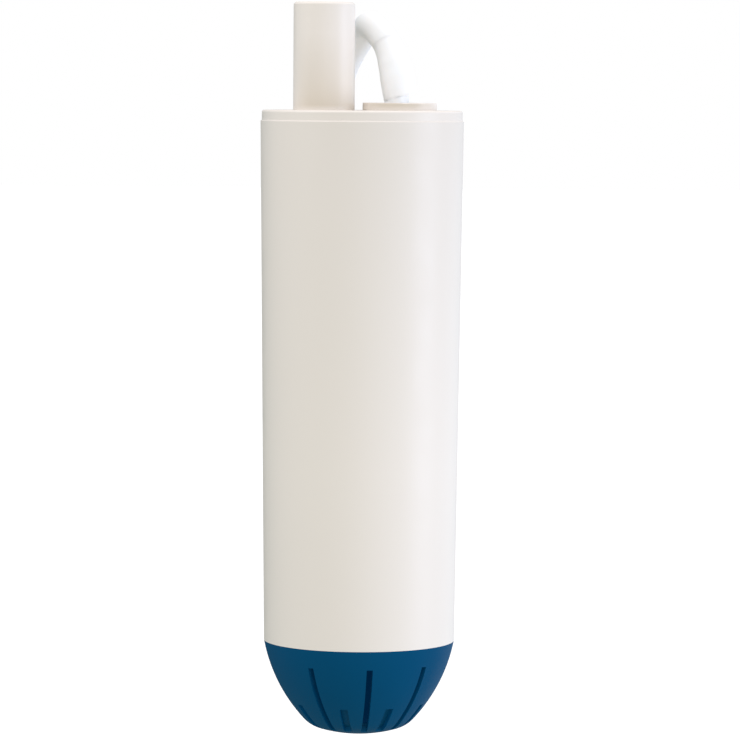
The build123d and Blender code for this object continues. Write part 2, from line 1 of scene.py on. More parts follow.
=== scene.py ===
"""Looks of a slim submersible bilge pump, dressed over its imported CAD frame. Metres, +Z up."""

import json
import math

import bmesh
import bpy
from mathutils import Matrix, Vector


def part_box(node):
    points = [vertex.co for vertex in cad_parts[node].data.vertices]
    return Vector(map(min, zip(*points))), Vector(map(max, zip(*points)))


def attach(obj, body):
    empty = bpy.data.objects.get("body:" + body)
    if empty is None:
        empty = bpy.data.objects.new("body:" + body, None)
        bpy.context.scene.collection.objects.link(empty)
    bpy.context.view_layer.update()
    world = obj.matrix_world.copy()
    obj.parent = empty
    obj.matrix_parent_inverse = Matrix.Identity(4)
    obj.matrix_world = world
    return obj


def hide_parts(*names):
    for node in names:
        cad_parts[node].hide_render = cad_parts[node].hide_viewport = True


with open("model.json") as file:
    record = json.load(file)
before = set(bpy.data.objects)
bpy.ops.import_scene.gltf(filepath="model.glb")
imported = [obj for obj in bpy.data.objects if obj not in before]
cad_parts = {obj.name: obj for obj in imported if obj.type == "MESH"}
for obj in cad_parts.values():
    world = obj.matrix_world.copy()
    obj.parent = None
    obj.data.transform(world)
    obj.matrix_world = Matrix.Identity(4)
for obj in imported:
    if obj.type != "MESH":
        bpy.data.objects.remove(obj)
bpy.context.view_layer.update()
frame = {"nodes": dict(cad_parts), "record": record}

MM = 0.001
CASING_LOW, CASING_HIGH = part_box("casing")
DOME_LOW, DOME_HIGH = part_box("strainer")
PUMP_X = (CASING_LOW.x + CASING_HIGH.x) / 2


# ---------------------------------------------------------------- camera

# It stands 0.8 m off, level with the cap, and looks a little down.
VIEW_FROM = Vector((9.335, -800.0, 3.7)) * MM
VIEW_AT = Vector((9.335, 0.0, -50.8)) * MM
VIEW_ROLL = math.radians(0.38)
LENS, SENSOR = 199.0, 36.0            # in millimetres, as Blender's camera takes them

camera = bpy.data.objects.new("camera", bpy.data.cameras.new("camera"))
bpy.context.collection.objects.link(camera)
camera.data.lens = LENS
camera.data.sensor_width = SENSOR
camera.data.clip_start = 0.05
camera.data.clip_end = 20.0
turn = (VIEW_AT - VIEW_FROM).to_track_quat("-Z", "Y").to_matrix().to_4x4()
camera.matrix_world = Matrix.Translation(VIEW_FROM) @ turn @ Matrix.Rotation(VIEW_ROLL, 4, "Z")
bpy.context.scene.camera = camera
bpy.context.scene.view_settings.view_transform = "Standard"


# ---------------------------------------------------------------- cable

CABLE_R = 2.75 * MM
# Out of the strain relief, over the cap beside the hose tail and down behind it, in mm.
CABLE_ROUTE = [
    (14.45, 0.1, 5.15),
    (13.75, 0.3, 9.05),
    (12.15, 2.5, 13.6),
    (8.7, 7.6, 17.1),
    (7.8, 15.5, 15.5),
    (3.5, 21.5, 8.7),
    (1.3, 24.3, -1.3),
    (1.5, 24.5, -13.0),
]
ENTRY_LOW = (2.2, 24.5, -28.0)
HANK_TURNS = 4
HANK_LOW, HANK_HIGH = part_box("cable_hank")
HANK_X = (HANK_LOW.x + HANK_HIGH.x) / 2
HANK_Z = (HANK_LOW.z + HANK_HIGH.z) / 2
LOOP_R = (HANK_HIGH.x - HANK_LOW.x) / 2 - CABLE_R
HALF_H = (HANK_HIGH.z - HANK_LOW.z) / 2 - CABLE_R
FIRST_LAYER = HANK_LOW.y + CABLE_R
LAST_LAYER = HANK_HIGH.y - CABLE_R
LAYER = (LAST_LAYER - FIRST_LAYER) / HANK_TURNS
WAIST_H = 0.18                                          # of the half height
LOOP_SHAPE = [(0.96, 0.43), (1.03, 0.755), (0.47, 1.0)]  # of the loop's radius and the half height
TURN_SIZES = [(1.0, 1.0), (0.965, 0.985), (0.985, 1.0), (0.95, 0.975)]     # no two turns are quite alike
END_LOW, END_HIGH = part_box("cable_end")
END_X = (END_LOW.x + END_HIGH.x) / 2
END_SWAY = 0.2 * MM                                     # of the hanging end, half way down the hank


def hank_turn(number):
    """One turn from the left of the waist, down round the foot, up, and over the crown one layer further back."""
    wide, tall = TURN_SIZES[number]
    front = FIRST_LAYER + number * LAYER
    back = front + LAYER
    loop = [(x * LOOP_R * wide, z * HALF_H * tall) for x, z in LOOP_SHAPE]
    waist = (CABLE_R, WAIST_H * HALF_H)
    right = [(*waist, front), (*loop[0], front + LAYER / 3), (*loop[1], back - LAYER / 8), (*loop[2], back)]
    left = [(-x, z, back) for x, z in [*reversed(loop), waist]]
    foot = [(-x, -z, front) for x, z in [waist, *loop]] + [(x, -z, front) for x, z in [*reversed(loop), waist]]
    return [(HANK_X + x, y, HANK_Z + z) for x, z, y in foot + right + left]


def cable_points():
    """The route over the cap, the hank's turns, and the end that hangs out of its foot, in metres."""
    points = [Vector(p) * MM for p in [*CABLE_ROUTE, ENTRY_LOW]]
    points.append(Vector((HANK_X - CABLE_R, FIRST_LAYER, HANK_Z + WAIST_H * HALF_H)))
    for number in range(HANK_TURNS):
        points += [Vector(p) for p in hank_turn(number)]
    foot = HANK_Z - HALF_H
    points.append(Vector((HANK_X - CABLE_R, LAST_LAYER, HANK_Z - WAIST_H * HALF_H)))
    points.append(Vector((END_X - END_SWAY, LAST_LAYER, (HANK_Z + foot) / 2)))
    points.append(Vector((END_X, LAST_LAYER, foot)))
    points.append(Vector((END_X, LAST_LAYER, END_LOW.z)))
    return points


def spline_curve(name, points, radius, sides):
    """A round cord along a smooth spline, with its ends closed. Its bounds go by the radius of its points."""
    data = bpy.data.curves.new(name, "CURVE")
    data.dimensions = "3D"
    data.bevel_depth = 1.0            # times each point's radius
    data.bevel_resolution = sides // 4
    data.resolution_u = 10
    data.use_fill_caps = True
    spline = data.splines.new("NURBS")
    spline.points.add(len(points) - 1)
    for point, place in zip(spline.points, points):
        point.co = (*place, 1.0)
        point.radius = radius
    spline.order_u = 3
    spline.use_endpoint_u = True
    piece = bpy.data.objects.new(name, data)
    bpy.context.collection.objects.link(piece)
    return piece


cord = spline_curve("supply_cord", cable_points(), CABLE_R, sides=32)
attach(cord, "housing")
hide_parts("cable", "cable_hank", "cable_end")


# ---------------------------------------------------------------- mesh helpers

def add_mesh(name, vertices, faces):
    """A smooth mesh piece that rides on the housing."""
    data = bpy.data.meshes.new(name)
    data.from_pydata([tuple(v) for v in vertices], [], faces)
    work = bmesh.new()
    work.from_mesh(data)
    bmesh.ops.recalc_face_normals(work, faces=work.faces)
    work.to_mesh(data)
    work.free()
    for face in data.polygons:
        face.use_smooth = True
    piece = bpy.data.objects.new(name, data)
    bpy.context.collection.objects.link(piece)
    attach(piece, "housing")
    return piece


def round_edges(piece, width):
    """Small round edges wherever two faces meet at more than about 30 degrees."""
    edges = piece.modifiers.new("round_edges", "BEVEL")
    edges.width = width
    edges.segments = 2
    edges.limit_method = "ANGLE"
    edges.angle_limit = math.radians(30)


def round_points(centre, radius, across, beside, sides):
    """A ring of points about a centre, in the plane of two square directions."""
    angles = [math.tau * side / sides for side in range(sides)]
    return [centre + radius * (math.cos(angle) * across + math.sin(angle) * beside) for angle in angles]


def ring_faces(rings, sides):
    """The quads between so many rings of so many points each."""
    faces = []
    for ring in range(rings - 1):
        for side in range(sides):
            a, b = ring * sides + side, ring * sides + (side + 1) % sides
            faces.append((a, b, b + sides, a + sides))
    return faces


def tube_rings(places, radii, sides):
    """The points of a round tube through places, each ring square to the way it runs."""
    vertices = []
    along = (places[1] - places[0]).normalized()
    across = along.orthogonal().normalized()
    for index, (place, radius) in enumerate(zip(places, radii)):
        ahead = places[min(index + 1, len(places) - 1)] - places[max(index - 1, 0)]
        across = (across - across.project(ahead)).normalized()
        vertices += round_points(place, radius, across, ahead.normalized().cross(across), sides)
    return vertices


def line_of(curve, spacing):
    """Points about so far apart along a cord's own smooth line, read with no bevel on it."""
    bevel = curve.data.bevel_depth
    curve.data.bevel_depth = 0.0
    bpy.context.view_layer.update()
    drawn = bpy.data.meshes.new_from_object(curve.evaluated_get(bpy.context.evaluated_depsgraph_get()))
    curve.data.bevel_depth = bevel
    points = [v.co.copy() for v in drawn.vertices]
    bpy.data.meshes.remove(drawn)
    kept = [points[0]]
    for point in points:
        if (point - kept[-1]).length >= spacing:
            kept.append(point)
    return kept


# ---------------------------------------------------------------- strain relief at the cap

PLUG_X = 14.8 * MM                # the gland's plug fills the bore of the cap's raised disc
PLUG_R = 3.5 * MM
PLUG_LOW, PLUG_TOP = -12.0 * MM, 1.4 * MM
BOSS_TOP = 1.5 * MM               # the cap's raised disc
FOOT_X = 14.17 * MM
FOOT_R = (2.42 * MM, 3.12 * MM)   # across and fore and aft
CREASE = 0.12 * MM                # a row of points so far from each edge keeps the flat parts flat
LIP = Vector((14.75, 0, 2.65)) * MM
LIP_R = 3.15 * MM
LIP_LEAN = math.radians(15.5)
LIP_DEPTH = 0.35 * MM
RELIEF_REACH = 9.0 * MM           # up the cable past its exit
RELIEF_SIDES = 64
RELIEF_RINGS = 37                 # along the sleeve
LIP_SHARE = 0.2                   # of the sleeve, over which it turns from the lip's lean to the cable's line
# The sleeve's radius in mm, at shares of its length.
RELIEF_RADII = [(0.0, 3.2), (0.12, 3.28), (0.3, 3.3), (0.55, 3.12), (0.8, 2.9), (0.99, 2.775), (1.0, 2.7)]


def level_ring(centre, across, fore, lean=0.0):
    """An oval ring about a point, level or tipped up on the side away from the tail."""
    points = []
    for side in range(RELIEF_SIDES):
        angle = math.tau * side / RELIEF_SIDES
        out = across * math.cos(angle)
        points.append(centre + Vector((out * math.cos(lean), fore * math.sin(angle), out * math.sin(lean))))
    return points


def above(point, height):
    """A place straight over another."""
    return point + Vector((0, 0, height))


def foot_rings():
    """The plug in the disc's bore, the narrow foot that stands on it, and the underside of the lip."""
    plug = Vector((PLUG_X, 0, PLUG_TOP))
    foot = Vector((FOOT_X, 0, PLUG_TOP))
    under = Vector((FOOT_X, 0, LIP.z))
    return [level_ring(Vector((PLUG_X, 0, PLUG_LOW)), PLUG_R, PLUG_R),
            level_ring(above(plug, -CREASE), PLUG_R, PLUG_R),
            level_ring(plug, PLUG_R, PLUG_R),
            level_ring(plug, PLUG_R - CREASE, PLUG_R - CREASE),
            level_ring(foot, FOOT_R[0] + CREASE, FOOT_R[1] + CREASE),
            level_ring(foot, *FOOT_R),
            level_ring(above(foot, BOSS_TOP - PLUG_TOP), *FOOT_R),
            level_ring(above(under, -CREASE), *FOOT_R, LIP_LEAN),
            level_ring(under, *FOOT_R, LIP_LEAN),
            level_ring(LIP, 0.98 * LIP_R, 0.98 * LIP_R, LIP_LEAN),
            level_ring(above(LIP, 0.2 * LIP_DEPTH), LIP_R, LIP_R, LIP_LEAN)]


def sleeve_radius(share):
    """The sleeve's radius at a share of its length, eased between the listed places."""
    for (low, first), (high, second) in zip(RELIEF_RADII, RELIEF_RADII[1:]):
        if share <= high:
            part = (share - low) / (high - low)
            return (first + (second - first) * part * part * (3 - 2 * part)) * MM
    return RELIEF_RADII[-1][1] * MM


def sleeve_rings():
    """The sleeve, from the lip up round the first bend of the cable."""
    cable_line = line_of(cord, 0.4 * MM)
    start, meet = above(LIP, LIP_DEPTH), cable_line[0]
    path = [start.lerp(meet, step / 5) for step in range(5)]
    path += [point for point in cable_line if (point - meet).length <= RELIEF_REACH]
    runs = [0.0]
    for before, after in zip(path, path[1:]):
        runs.append(runs[-1] + (after - before).length)
    lip_axis = Vector((-math.sin(LIP_LEAN), 0, math.cos(LIP_LEAN)))
    rings = []
    for number in range(RELIEF_RINGS):
        share = number / (RELIEF_RINGS - 1)
        wanted = min(share * runs[-1], runs[-1] - 1e-9)
        step = max(i for i, run in enumerate(runs[:-1]) if run <= wanted)
        part = (wanted - runs[step]) / (runs[step + 1] - runs[step])
        place = path[step].lerp(path[step + 1], part)
        ahead = (path[min(step + 3, len(path) - 1)] - path[max(step - 2, 0)]).normalized()
        ahead = lip_axis.lerp(ahead, min(1.0, share / LIP_SHARE)).normalized()
        across = Vector((0, 1, 0)).cross(ahead).normalized()
        rings.append(round_points(place, sleeve_radius(share), across, ahead.cross(across), RELIEF_SIDES))
    return rings


def strain_relief():
    """A soft moulding on the cable: a plug, a narrow foot, and a sleeve with a lip that the cable's bend lifts."""
    rings = foot_rings() + sleeve_rings()
    faces = ring_faces(len(rings), RELIEF_SIDES) + [range(RELIEF_SIDES - 1, -1, -1)]
    piece = add_mesh("strain_relief", [point for ring in rings for point in ring], faces)
    round_edges(piece, 0.05 * MM)
    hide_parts("cable_gland")
    return piece


relief = strain_relief()


# ---------------------------------------------------------------- strap round the hank

STRAP_LOW, STRAP_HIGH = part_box("hank_tie")
STRAP_THICK = 0.9 * MM
STRAP_CORNER = 2.9 * MM
STRAP_LAP = 0.42                  # of one turn, lapped over the start
STRAP_RISE = 0.05                 # of one turn, over which the lap climbs on to the start
STRAP_STEPS = 96


def around_waist(share, out):
    """A point on a rounded rectangle round the waist, a share of a turn from the middle of its back."""
    wide = (STRAP_HIGH.x - STRAP_LOW.x) / 2 - STRAP_THICK
    deep = (STRAP_HIGH.y - STRAP_LOW.y) / 2 - STRAP_THICK
    flat_x, flat_y = wide - STRAP_CORNER, deep - STRAP_CORNER
    arc = STRAP_CORNER * math.pi / 2
    run = (share % 1.0) * (4 * flat_x + 4 * flat_y + 4 * arc)
    corner = STRAP_CORNER + out
    legs = [((0, 1), (1, 0), (0, deep), flat_x), ((1, 0), (0, -1), (wide, flat_y), 2 * flat_y),
            ((0, -1), (-1, 0), (flat_x, -deep), 2 * flat_x), ((-1, 0), (0, 1), (-wide, -flat_y), 2 * flat_y),
            ((0, 1), (1, 0), (-flat_x, deep), flat_x)]
    for number, (outward, onward, start, length) in enumerate(legs):
        if run <= length or number == len(legs) - 1:
            return Vector(start) + run * Vector(onward) + out * Vector(outward)
        run -= length
        if run <= arc:
            turned = run / STRAP_CORNER
            centre = Vector(start) + length * Vector(onward) - STRAP_CORNER * Vector(outward)
            return centre + corner * (Vector(outward) * math.cos(turned) + Vector(onward) * math.sin(turned))
        run -= arc


def hank_strap():
    """A hook-and-loop band, one turn round the waist and its end lapped over the start."""
    middle = (STRAP_LOW + STRAP_HIGH) / 2
    half = (STRAP_HIGH.z - STRAP_LOW.z) / 2
    vertices = []
    last = int(STRAP_STEPS * (1 + STRAP_LAP))
    for step in range(last + 1):
        share = step / STRAP_STEPS
        lift = 1.02 * STRAP_THICK * min(1.0, max(0.0, (share - 1 + STRAP_RISE) / STRAP_RISE))
        taper = 1.0 if step < last else 0.8
        inner = around_waist(share, lift)
        outer = around_waist(share, lift + STRAP_THICK)
        for point, height in ((inner, -half), (outer, -half), (outer, half), (inner, half)):
            vertices.append((middle.x + point.x, middle.y + point.y, middle.z + height * taper))
    faces = ring_faces(last + 1, 4) + [range(4), range(4 * last, 4 * last + 4)]
    piece = add_mesh("hank_strap", vertices, faces)
    round_edges(piece, 0.18 * MM)
    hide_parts("hank_tie")
    return piece


strap = hank_strap()


# ---------------------------------------------------------------- tinned ends

CORE_SPREAD = 2.6 * MM
TIP_RUN = Vector((1.4, 0.0, -5.0)).normalized()
TIP_LENGTH = 4.1 * MM
WIRE_R = 0.17 * MM
WIRE_RING = 0.37 * MM
WIRE_PITCH = 7.0 * MM
WIRES = 7                         # six round one
WIRE_RINGS = 15
WIRE_SIDES = 10


def tinned_ends():
    """Seven twisted wires out of each core, their tips a little uneven and spread."""
    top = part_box("core_brown")[0].z + 0.3 * MM
    radii = [WIRE_R] * (WIRE_RINGS - 1) + [0.7 * WIRE_R]
    across = Vector((0, 1, 0))
    vertices, faces = [], []
    for side in (-1, 1):
        run = Vector((side * TIP_RUN.x, 0, TIP_RUN.z))
        start = Vector((END_X + side * CORE_SPREAD, LAST_LAYER, top))
        beside = run.cross(across)
        for wire in range(WIRES):
            ring = 0.0 if wire == WIRES - 1 else WIRE_RING
            length = TIP_LENGTH * (1 - 0.05 * (wire * 5 % WIRES) / WIRES)
            places = []
            for step in range(WIRE_RINGS):
                share = step / (WIRE_RINGS - 1)
                angle = math.tau * (wire / (WIRES - 1) + side * share * length / WIRE_PITCH)
                spread = ring * (1 + 0.25 * share * share)
                places.append(start + run * (share * length)
                              + spread * (math.cos(angle) * across + math.sin(angle) * beside))
            first = len(vertices)
            vertices += tube_rings(places, radii, WIRE_SIDES)
            last = len(vertices) - WIRE_SIDES
            faces += [tuple(first + index for index in face) for face in ring_faces(WIRE_RINGS, WIRE_SIDES)]
            faces += [range(first, first + WIRE_SIDES), range(last, last + WIRE_SIDES)]
    piece = add_mesh("tinned_ends", vertices, faces)
    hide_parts("bare_strands")
    return piece


wires = tinned_ends()


# ---------------------------------------------------------------- node helpers

def new_material(name):
    """An empty node material, its tree, its Principled shader and the object coordinates."""
    material = bpy.data.materials.new(name)
    material.use_nodes = True
    tree = material.node_tree
    shader = tree.nodes["Principled BSDF"]
    place = tree.nodes.new("ShaderNodeTexCoord").outputs["Object"]
    return material, tree, shader, place


def noise(tree, place, scale, detail=2.0, roughness=0.5):
    """Noise of so many features a metre, from 0 to 1 about 0.5."""
    node = tree.nodes.new("ShaderNodeTexNoise")
    tree.links.new(place, node.inputs["Vector"])
    node.inputs["Scale"].default_value = scale
    node.inputs["Detail"].default_value = detail
    node.inputs["Roughness"].default_value = roughness
    return node.outputs["Fac"]


def fill(tree, socket, value):
    """Link an input to another node's output, or set it to a plain value."""
    if isinstance(value, bpy.types.NodeSocket):
        tree.links.new(value, socket)
    else:
        socket.default_value = value


def combined(tree, operation, first, second):
    """Two numbers added, multiplied or compared."""
    node = tree.nodes.new("ShaderNodeMath")
    node.operation = operation
    fill(tree, node.inputs[0], first)
    fill(tree, node.inputs[1], second)
    return node.outputs["Value"]


def combined_vectors(tree, operation, first, second):
    """Two vectors added, subtracted, multiplied or dotted."""
    node = tree.nodes.new("ShaderNodeVectorMath")
    node.operation = operation
    fill(tree, node.inputs[0], first)
    fill(tree, node.inputs[1], second)
    return node.outputs["Value" if operation == "DOT_PRODUCT" else "Vector"]


def stretched(tree, place, factors):
    """The same place, with each axis drawn out or squeezed."""
    return combined_vectors(tree, "MULTIPLY", place, factors)


def ramp(tree, value, stops):
    """Colours or greys between stops of (position, colour)."""
    node = tree.nodes.new("ShaderNodeValToRGB")
    tree.links.new(value, node.inputs["Fac"])
    elements = node.color_ramp.elements
    while len(elements) < len(stops):
        elements.new(0.5)
    for element, (position, colour) in zip(elements, stops):
        element.position = position
        element.color = (*colour, 1.0) if hasattr(colour, "__len__") else (colour, colour, colour, 1.0)
    return node.outputs["Color"]


def mixed(tree, amount, first, second):
    """first blended to second by an amount, a socket or a number. Either colour may be a socket."""
    node = tree.nodes.new("ShaderNodeMix")
    node.data_type = "RGBA"
    for name, value in (("Factor", amount), ("A", first), ("B", second)):
        ready = isinstance(value, (float, bpy.types.NodeSocket))
        fill(tree, node.inputs[name], value if ready else (*value, 1.0))
    return node.outputs["Result"]


def bumped(tree, shader, height, distance, strength=1.0, under=None):
    """Bump of so many metres, over an earlier bump if one is given."""
    node = tree.nodes.new("ShaderNodeBump")
    node.inputs["Strength"].default_value = strength
    node.inputs["Distance"].default_value = distance
    tree.links.new(height, node.inputs["Height"])
    if under is not None:
        tree.links.new(under, node.inputs["Normal"])
    tree.links.new(node.outputs["Normal"], shader.inputs["Normal"])
    return node.outputs["Normal"]


def up(tree, place):
    """Height, in metres."""
    node = tree.nodes.new("ShaderNodeSeparateXYZ")
    tree.links.new(place, node.inputs[0])
    return node.outputs["Z"]


def between(tree, value, low, high):
    """0 below low, 1 above high, and straight between them."""
    node = tree.nodes.new("ShaderNodeMapRange")
    tree.links.new(value, node.inputs["Value"])
    node.inputs["From Min"].default_value = low
    node.inputs["From Max"].default_value = high
    return node.outputs["Result"]


def band(tree, height, foot, middle, top):
    """1 at the middle height, and fading to 0 at the foot and at the top."""
    return combined(tree, "MULTIPLY", between(tree, height, foot, middle), between(tree, height, top, middle))


# ---------------------------------------------------------------- materials

RECORD_COLOURS = {entry["slot"]: entry["base_color"] for entry in frame["record"]["materials"]}
SLOT_OF = {part["node"]: part["material_slot"] for part in frame["record"]["subparts"]}


def moulded(name, colour, deeper, rough=(0.34, 0.44), specular=0.35, grain=0.006 * MM, draw=None, painted_warm_shade=None,
            painted_light_band=None):
    """Moulded plastic: cloudy tone, fine grain and draw lines, with a painted warm shade low on the front and a painted
    band of paler light.
    """
    material, tree, shader, place = new_material(name)
    cloud = noise(tree, stretched(tree, place, (1.0, 1.0, 0.35)), 55.0, 3.0)
    tone = mixed(tree, ramp(tree, cloud, [(0.32, 0.0), (0.68, 1.0)]), colour, deeper)
    speck = ramp(tree, noise(tree, place, 900.0, 1.0), [(0.74, 0.0), (0.80, 1.0)])
    tone = mixed(tree, combined(tree, "MULTIPLY", speck, 0.07), tone, tuple(0.55 * c for c in colour))
    # painted light: the colour turns paler towards the middle height and fades up and down, in place of light that
    # falls strongest there
    if painted_light_band is not None:
        tone = mixed(tree, band(tree, up(tree, place), *painted_light_band[1:]), tone, painted_light_band[0])
    # painted shade: low on the front-facing sides, by the hose tail's foot, the colour turns darker and warmer in place
    # of shade and warm bounce light
    if painted_warm_shade is not None:
        share = band(tree, up(tree, place), *painted_warm_shade[1:])
        facing = tree.nodes.new("ShaderNodeSeparateXYZ")
        tree.links.new(tree.nodes.new("ShaderNodeTexCoord").outputs["Normal"], facing.inputs[0])
        share = combined(tree, "MULTIPLY", share, between(tree, facing.outputs["Z"], 0.7, 0.2))
        share = combined(tree, "MULTIPLY", share, between(tree, facing.outputs["Y"], -0.3, -0.9))
        tone = mixed(tree, share, tone, painted_warm_shade[0])
    tree.links.new(tone, shader.inputs["Base Color"])
    shader.inputs["Specular IOR Level"].default_value = specular
    gloss = ramp(tree, noise(tree, place, 160.0, 4.0), [(0.3, rough[0]), (0.7, rough[1])])
    tree.links.new(gloss, shader.inputs["Roughness"])
    normal = bumped(tree, shader, noise(tree, place, 2600.0, 2.0), grain)
    if draw is not None:
        lines = noise(tree, stretched(tree, place, (1.0, 1.0, 0.02)), 1100.0, 2.0)
        normal = bumped(tree, shader, lines, draw, under=normal)
    bumped(tree, shader, noise(tree, place, 70.0, 1.0), 0.05 * MM, 0.6, under=normal)
    return material


def painted_inner_glow(material, centre, colour, strength):
    """Painted glow on a thin coloured wall: its inner faces, those that look at the axis, glow a little, in place of
    light coming in through the wall.
    """
    tree = material.node_tree
    shader = tree.nodes["Principled BSDF"]
    coordinates = tree.nodes.new("ShaderNodeTexCoord")
    outward = combined_vectors(tree, "SUBTRACT", coordinates.outputs["Object"], centre)
    facing = combined_vectors(tree, "DOT_PRODUCT", outward, coordinates.outputs["Normal"])
    inside = between(tree, facing, 0.0, -1.0 * MM)
    shader.inputs["Emission Color"].default_value = (*colour, 1.0)
    tree.links.new(combined(tree, "MULTIPLY", inside, strength), shader.inputs["Emission Strength"])
    return material


def soft_sheath(name, colour, deeper):
    """Soft white PVC: a little light goes in, and the skin shows faint dimples and scuffs."""
    material, tree, shader, place = new_material(name)
    cloud = noise(tree, place, 120.0, 3.0)
    tone = mixed(tree, ramp(tree, cloud, [(0.35, 0.0), (0.65, 1.0)]), colour, deeper)
    lengthwise = stretched(tree, place, (1.0, 1.0, 0.4))
    scuff = ramp(tree, noise(tree, lengthwise, 700.0, 4.0, 0.7), [(0.66, 0.0), (0.74, 1.0)])
    tone = mixed(tree, combined(tree, "MULTIPLY", scuff, 0.22), tone, tuple(0.72 * c for c in colour))
    tree.links.new(tone, shader.inputs["Base Color"])
    shader.inputs["Specular IOR Level"].default_value = 0.4
    shader.inputs["Subsurface Weight"].default_value = 0.5
    shader.inputs["Subsurface Radius"].default_value = (0.0016, 0.0015, 0.0014)
    shader.inputs["Subsurface Scale"].default_value = 1.0
    gloss = ramp(tree, noise(tree, place, 350.0, 3.0), [(0.3, 0.42), (0.7, 0.56)])
    tree.links.new(gloss, shader.inputs["Roughness"])
    normal = bumped(tree, shader, noise(tree, place, 1500.0, 2.0), 0.008 * MM)
    bumped(tree, shader, noise(tree, place, 260.0, 1.0), 0.03 * MM, 0.7, under=normal)
    return material


def metal(name, colour, rough, lay=(1.0, 1.0, 0.05), scratch=0.002 * MM, tint=None):
    """Bare metal with fine lines along one direction and a few duller patches."""
    material, tree, shader, place = new_material(name)
    patch = ramp(tree, noise(tree, place, 220.0, 3.0), [(0.35, 0.0), (0.7, 1.0)])
    tone = mixed(tree, patch, colour, tint or tuple(0.8 * c for c in colour))
    tree.links.new(tone, shader.inputs["Base Color"])
    shader.inputs["Metallic"].default_value = 1.0
    lines = noise(tree, stretched(tree, place, lay), 3200.0, 3.0)
    tree.links.new(ramp(tree, lines, [(0.25, rough * 0.75), (0.75, rough * 1.3)]), shader.inputs["Roughness"])
    bumped(tree, shader, lines, scratch)
    return material


def matte(name, colour, rough=0.6, grain_scale=1800.0, grain=0.01 * MM, specular=0.3):
    """Plain dull stuff, such as rubber, carbon, ferrite or a filled plastic: mottled, with a fine grain."""
    material, tree, shader, place = new_material(name)
    cloud = ramp(tree, noise(tree, place, 300.0, 4.0), [(0.3, 0.0), (0.7, 1.0)])
    tree.links.new(mixed(tree, cloud, colour, tuple(0.8 * c for c in colour)), shader.inputs["Base Color"])
    tree.links.new(ramp(tree, cloud, [(0.0, rough * 0.9), (1.0, min(1.0, rough * 1.15))]), shader.inputs["Roughness"])
    shader.inputs["Specular IOR Level"].default_value = specular
    bumped(tree, shader, noise(tree, place, grain_scale, 2.0), grain)
    return material


def banded(material, period, depth):
    """Fine level ridges over what a material already has, such as stacked sheets or wound wire."""
    tree = material.node_tree
    shader = tree.nodes["Principled BSDF"]
    place = tree.nodes.new("ShaderNodeTexCoord").outputs["Object"]
    ridge = tree.nodes.new("ShaderNodeTexWave")
    ridge.wave_type = "BANDS"
    ridge.bands_direction = "Z"
    ridge.inputs["Scale"].default_value = math.pi / (10 * period)     # at scale 1 the ridges are pi / 10 apart
    tree.links.new(place, ridge.inputs["Vector"])
    earlier = shader.inputs["Normal"].links[0].from_socket
    bumped(tree, shader, ridge.outputs["Fac"], depth, 1.0, under=earlier)
    return material


def woven_strap(name, colour):
    """Hook-and-loop tape: tiny loops all over, with a fine fuzz."""
    material, tree, shader, place = new_material(name)
    loops = tree.nodes.new("ShaderNodeTexVoronoi")
    loops.inputs["Scale"].default_value = 1900.0
    tree.links.new(stretched(tree, place, (1.0, 1.0, 1.25)), loops.inputs["Vector"])
    height = loops.outputs["Distance"]
    fuzz = noise(tree, place, 5200.0, 3.0, 0.7)
    # painted shade: the colour darkens in the low gaps between the loops
    painted_gap_shade = mixed(tree, ramp(tree, height, [(0.0, 1.0), (0.6, 0.0)]), tuple(0.35 * c for c in colour), colour)
    tree.links.new(mixed(tree, combined(tree, "MULTIPLY", fuzz, 0.5), painted_gap_shade, tuple(1.7 * c for c in colour)),
                   shader.inputs["Base Color"])
    shader.inputs["Roughness"].default_value = 0.95
    shader.inputs["Specular IOR Level"].default_value = 0.15
    shader.inputs["Sheen Weight"].default_value = 0.35
    shader.inputs["Sheen Roughness"].default_value = 0.5
    normal = bumped(tree, shader, combined(tree, "SUBTRACT", 1.0, height), 0.22 * MM)
    bumped(tree, shader, fuzz, 0.05 * MM, under=normal)
    return material


